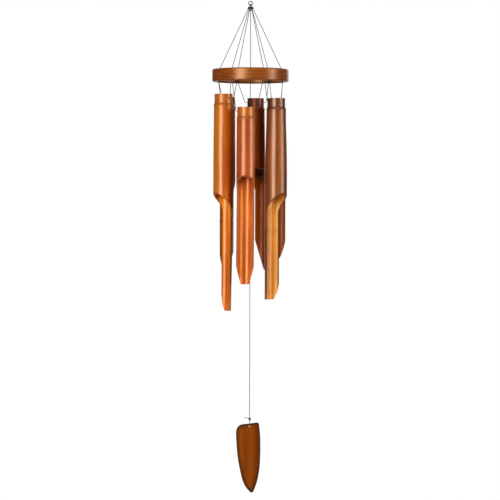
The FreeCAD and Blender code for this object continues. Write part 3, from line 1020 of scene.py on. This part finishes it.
def striker():
    low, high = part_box("striker")
    radius = (high.x - low.x) / 2 / MM
    height = (high.z - low.z) / MM
    outline = []
    for r, z in divided(rounded_section(STRIKER_HOLE_R, radius, 0, height, STRIKER_EDGE_R, 10), 1.5):
        outline.append((max(STRIKER_HOLE_R, r), z))
    outline = [p for p in outline if p[0] > STRIKER_HOLE_R + STRIKER_HOLE_RIM] + rim_of_hole(height)
    skin = turned(outline, Vector((0, 0, low.z)), 120, 0.05)
    wood = board_wood("striker_dark_wood", "4A1C0A", "642C10", "7E3E1A", "2E1006", 1, 700, 5.0,
                      0.55, 0.2)
    obj = skin.piece("striker_disc", [wood], "striker", "striker_wood", "striker")
    measure(obj, "edge", lambda point: 0.3)


def rim_of_hole(height):
    """The part of the striker's outline round its hole: both faces' inner edges."""
    r = STRIKER_HOLE_R
    top = [(r + 3.0, height), (r + 1.2, height), (r + 0.35, height - 0.12), (r, height - 0.5)]
    return top + [(r, height * 0.66), (r, height * 0.33)] + [(x, height - z) for x, z in top[::-1]]


def through(points, count):
    """A smooth line through points, evenly spaced by count: a centripetal Catmull-Rom curve."""
    points = [Vector(p) for p in points]
    ends = [points[0] * 2 - points[1], *points, points[-1] * 2 - points[-2]]
    fine = []
    for a, b, c, d in zip(ends, ends[1:], ends[2:], ends[3:]):
        t1 = (b - a).length ** 0.5
        t2 = t1 + (c - b).length ** 0.5
        t3 = t2 + (d - c).length ** 0.5
        for k in range(16):
            t = t1 + (t2 - t1) * k / 16
            one = a.lerp(b, t / t1)
            two = b.lerp(c, (t - t1) / (t2 - t1))
            three = c.lerp(d, (t - t2) / (t3 - t2))
            left = one.lerp(two, t / t2)
            right = two.lerp(three, (t - t1) / (t3 - t1))
            fine.append(left.lerp(right, (t - t1) / (t2 - t1)))
    fine.append(points[-1])
    run = np.concatenate([[0], np.cumsum([(q - p).length for p, q in zip(fine, fine[1:])])])
    even = np.linspace(0, run[-1], count)
    return [Vector((np.interp(e, run, [p.x for p in fine]), np.interp(e, run, [p.y for p in fine])))
            for e in even]


def sail():
    """A leaf-shaped board: domed faces, rounded edges, a hole under its slanted top."""
    low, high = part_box("sail")
    left = through([(-12, -3), (-19.2, -5.1), (-24.1, -10), (SAIL_LEFT, -16), (-25.6, -35),
                    (-22.5, -68), (-12.7, -111), (-6.3, -122.5), (0.4, -129.6)], 90)
    right = through([(13.2, 0), (15.8, -1.6), (16.6, -5), (18.6, -24), (19.1, -42), (18.9, -62),
                     (17.8, -83), (13.0, -110), (6.6, -128)], 90)
    top = through([(-12, -3), (-4, -2.5), (4, -1.4), (13.2, 0)], 34)
    toe = through([(0.4, -129.6), (2.2, -130.6), (4.2, -130.6), (6.6, -128)], 34)
    outline = left + right + top + toe
    tree = kdtree.KDTree(len(outline))
    for i, point in enumerate(outline):
        tree.insert((point.x, point.y, 0), i)
    tree.balance()
    shift = low.x / MM - SAIL_LEFT
    half = (high.y - low.y) / 2 / MM
    skin = Skin()

    def edge_distance(x, z):
        return tree.find((x, z, 0))[2]

    def side(sign):
        rows = []
        for i, (start, end) in enumerate(zip(left, right)):
            b = i / (len(left) - 1)
            row = []
            for j, (over, under) in enumerate(zip(top, toe)):
                a = j / (len(top) - 1)
                flat = start.lerp(end, a) + over.lerp(under, b)
                flat -= (left[0].lerp(right[0], a)).lerp(left[-1].lerp(right[-1], a), b)
                border = i in (0, len(left) - 1) or j in (0, len(top) - 1)
                away = 0.0 if border else edge_distance(flat.x, flat.y)
                round_off = math.sqrt(max(0.0, 1 - (1 - min(1.0, away / SAIL_EDGE_R)) ** 2))
                dome = 0.86 + 0.14 * smooth_step(0, 14, away)
                y = sign * half * round_off * dome
                row.append(Vector((flat.x + shift, y, 0)) * MM + UP * (high.z + flat.y * MM))
            rows.append(row)
        return rows

    front = side(-1)
    back = side(1)
    front_rows = [skin.row(row) for row in front]
    back_rows = []
    for i, row in enumerate(back):
        made = skin.row(row)
        edge_row = i in (0, len(back) - 1)
        back_rows.append([front_rows[i][j] if edge_row or j in (0, len(row) - 1) else made[j]
                          for j in range(len(row))])
    for rows in (front_rows, back_rows):
        skin.sheet(rows, closed=False)
    wood = board_wood("sail_stained_wood", "541E00", "763400", "904600", "281000", 2, 330, 7.0,
                      0.5, 0.16)
    obj = skin.piece("sail_board", [wood], "sail", "sail_wood", "sail")
    outward(obj, drop_loose=True)
    hole = Vector((0, 0, high.z - SAIL_HOLE_DROP))
    drill(obj, hole, (0, 1, 0), SAIL_HOLE_D, 12 * MM)
    soften(obj, 0.4 * MM, 50)

    # Darker near the outline and over the right side.
    def edge(point):
        away = edge_distance(point.x / MM - shift, (point.z - high.z) / MM)
        x = point.x / MM - shift
        return max(0.8 * (1 - smooth_step(0.5, 9.0, away)), 0.4 * smooth_step(5.0, 14.0, x))

    measure(obj, "edge", edge)


def wires():
    """The ring and the staples keep their CAD shape and get their metal."""
    black = wire_metal("ring_black", "0A0A0A", "1A1816", 0.38, 0.6)
    oxide = wire_metal("staple_oxide", "15110D", "3A332B", 0.45, 0.85)
    for name, node in frame["nodes"].items():
        metal = black if name == "hanging_ring" else oxide
        if name == "hanging_ring" or name.startswith("hoop_staple"):
            node.data.materials.clear()
            node.data.materials.append(metal)


# --- stage --------------------------------------------------------------------------------


def softbox(name, place, target, width, height, power):
    data = bpy.data.lights.new(name, "AREA")
    data.shape = "RECTANGLE"
    data.size = width
    data.size_y = height
    data.energy = power
    lamp = bpy.data.objects.new(name, data)
    lamp.location = place
    lamp.rotation_euler = (Vector(target) - Vector(place)).to_track_quat("-Z", "Y").to_euler()
    lamp.visible_camera = False
    scene.collection.objects.link(lamp)


def studio():
    data = bpy.data.cameras.new("camera")
    data.lens = CAMERA_LENS
    data.sensor_width = CAMERA_SENSOR
    data.clip_end = 80
    camera = bpy.data.objects.new("camera", data)
    camera.location = CAMERA_PLACE
    camera.rotation_euler = (math.pi / 2, CAMERA_ROLL, 0)
    scene.collection.objects.link(camera)
    scene.camera = camera

    middle = (0, 0, -0.45)
    softbox("key", (-1.6, -2.8, -0.05), middle, 1.4, 2.6, 120)
    softbox("right", (2.85, -1.1, -0.2), middle, 1.0, 2.6, 62)
    softbox("over", (0.2, -0.6, 2.2), middle, 1.6, 1.6, 18)
    softbox("behind", (0.5, 3.6, 0.6), middle, 4.0, 3.6, 62)

    world = bpy.data.worlds.new("studio")
    world.use_nodes = True
    scene.world = world
    tree = world.node_tree
    shine = tree.nodes["Background"]
    seen = tree.nodes.new("ShaderNodeLightPath").outputs["Is Camera Ray"]
    strength = tree.nodes.new("ShaderNodeMapRange")
    strength.inputs["To Min"].default_value = 0.09
    strength.inputs["To Max"].default_value = 1.0
    tree.links.new(seen, strength.inputs["Value"])
    tree.links.new(strength.outputs["Result"], shine.inputs["Strength"])
    tint = tree.nodes.new("ShaderNodeMix")
    tint.data_type = "RGBA"
    tint.inputs[6].default_value = (1, 0.84, 0.7, 1)
    tint.inputs[7].default_value = (1, 1, 1, 1)
    tree.links.new(seen, tint.inputs[0])
    tree.links.new(tint.outputs[2], shine.inputs["Color"])

    skin = Skin()
    rings = [skin.row([(FLOOR_R * share * math.cos(TURN * k / 96),
                        FLOOR_R * share * math.sin(TURN * k / 96), FLOOR_Z) for k in range(96)])
             for share in (0.3, 1.0)]
    skin.join(rings[0], rings[1])
    skin.fan(rings[0], (0, 0, FLOOR_Z))
    mesh = bpy.data.meshes.new("floor")
    mesh.from_pydata(skin.points, [], skin.faces)
    paper = Finish("floor_paper", 0.9, Base_Color=(0.5, 0.5, 0.49, 1),
                   Emission_Color=(0.84, 0.84, 0.83, 1))
    lit = paper.tree.nodes.new("ShaderNodeLightPath").outputs["Is Camera Ray"]
    paper.tree.links.new(lit, paper.shader.inputs["Emission Strength"])
    mesh.materials.append(paper.material)
    floor = bpy.data.objects.new("floor", mesh)
    scene.collection.objects.link(floor)


# --- build --------------------------------------------------------------------------------

studio()
cord_black = cord_fibre("cord_black", "0B0A0A", "2E2A27")
cords_and_knots()
bamboo_tubes()
hoop()
striker()
sail()
wires()
